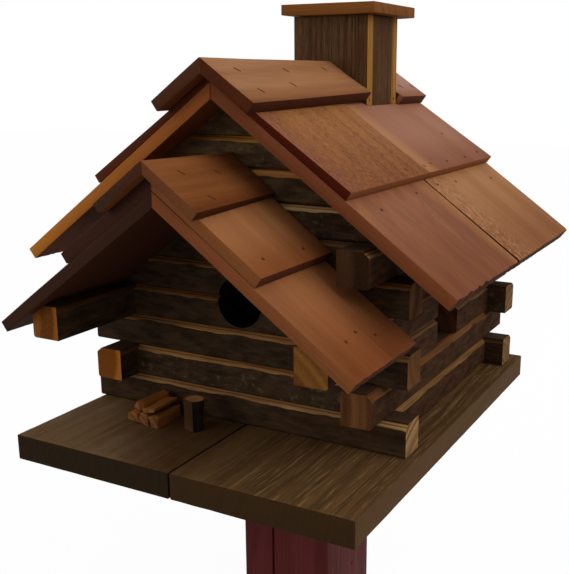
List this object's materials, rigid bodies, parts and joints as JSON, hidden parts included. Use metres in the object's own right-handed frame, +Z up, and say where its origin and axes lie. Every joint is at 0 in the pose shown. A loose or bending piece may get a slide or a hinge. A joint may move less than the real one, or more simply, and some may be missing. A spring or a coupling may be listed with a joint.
{
  "type": "log cabin birdhouse",
  "caption": "Post-mounted bird nest box built as a log cabin: stacked notched-corner logs, layered board roofs, open porch, side window and board chimney.",
  "frame": {"origin": "centre of the post's bottom face", "axes": "+Z up along the post, -Y towards the porch and the entrance hole, +X towards the wall with the window"},
  "size_m": [0.3888, 0.4109, 0.5588],
  "materials": {
    "weathered_log": "rough",
    "cedar_roof": "satin",
    "weathered_floor": "rough",
    "grey_board": "rough",
    "cedar_cap": "satin",
    "red_post": "matte paint",
    "split_wood": "rough",
    "barked_wood": "rough"
  },
  "bodies": {
    "root": {"post": "red_post", "floor_left": "weathered_floor", "floor_right": "weathered_floor", "front_log_1": "weathered_log", "front_log_2": "weathered_log", "front_log_3": "weathered_log", "front_log_4": "weathered_log", "front_log_5": "weathered_log", "front_log_6": "weathered_log", "front_log_7": "weathered_log", "front_log_8": "weathered_log", "front_log_9": "weathered_log", "back_log_1": "weathered_log", "back_log_2": "weathered_log", "back_log_3": "weathered_log", "back_log_4": "weathered_log", "back_log_5": "weathered_log", "back_log_6": "weathered_log", "back_log_7": "weathered_log", "back_log_8": "weathered_log", "back_log_9": "weathered_log", "left_log_1": "weathered_log", "left_log_2": "weathered_log", "left_log_3": "weathered_log", "left_log_4": "weathered_log", "left_log_5": "weathered_log", "left_log_6": "weathered_log", "right_log_1": "weathered_log", "right_log_2": "weathered_log", "right_log_3_front": "weathered_log", "right_log_3_back": "weathered_log", "right_log_4_front": "weathered_log", "right_log_4_back": "weathered_log", "right_log_5": "weathered_log", "right_log_6": "weathered_log", "roof_base_left_front": "cedar_roof", "roof_base_left_back": "cedar_roof", "roof_base_right_front": "cedar_roof", "roof_base_right_back": "cedar_roof", "roof_middle_left_front": "cedar_roof", "roof_middle_left_back": "cedar_roof", "roof_middle_right_front": "cedar_roof", "roof_middle_right_back": "cedar_roof", "roof_cap_left_front": "cedar_roof", "roof_cap_left_back": "cedar_roof", "roof_cap_right_front": "cedar_roof", "roof_cap_right_back": "cedar_roof", "porch_base_left": "cedar_roof", "porch_base_right": "cedar_roof", "porch_middle_left": "cedar_roof", "porch_middle_right": "cedar_roof", "porch_cap_left": "cedar_roof", "porch_cap_right": "cedar_roof", "chimney_front": "grey_board", "chimney_back": "grey_board", "chimney_left": "grey_board", "chimney_right": "grey_board", "chimney_cap": "cedar_cap", "firewood": "split_wood", "chopping_block": "barked_wood"}
  },
  "joints": []
}
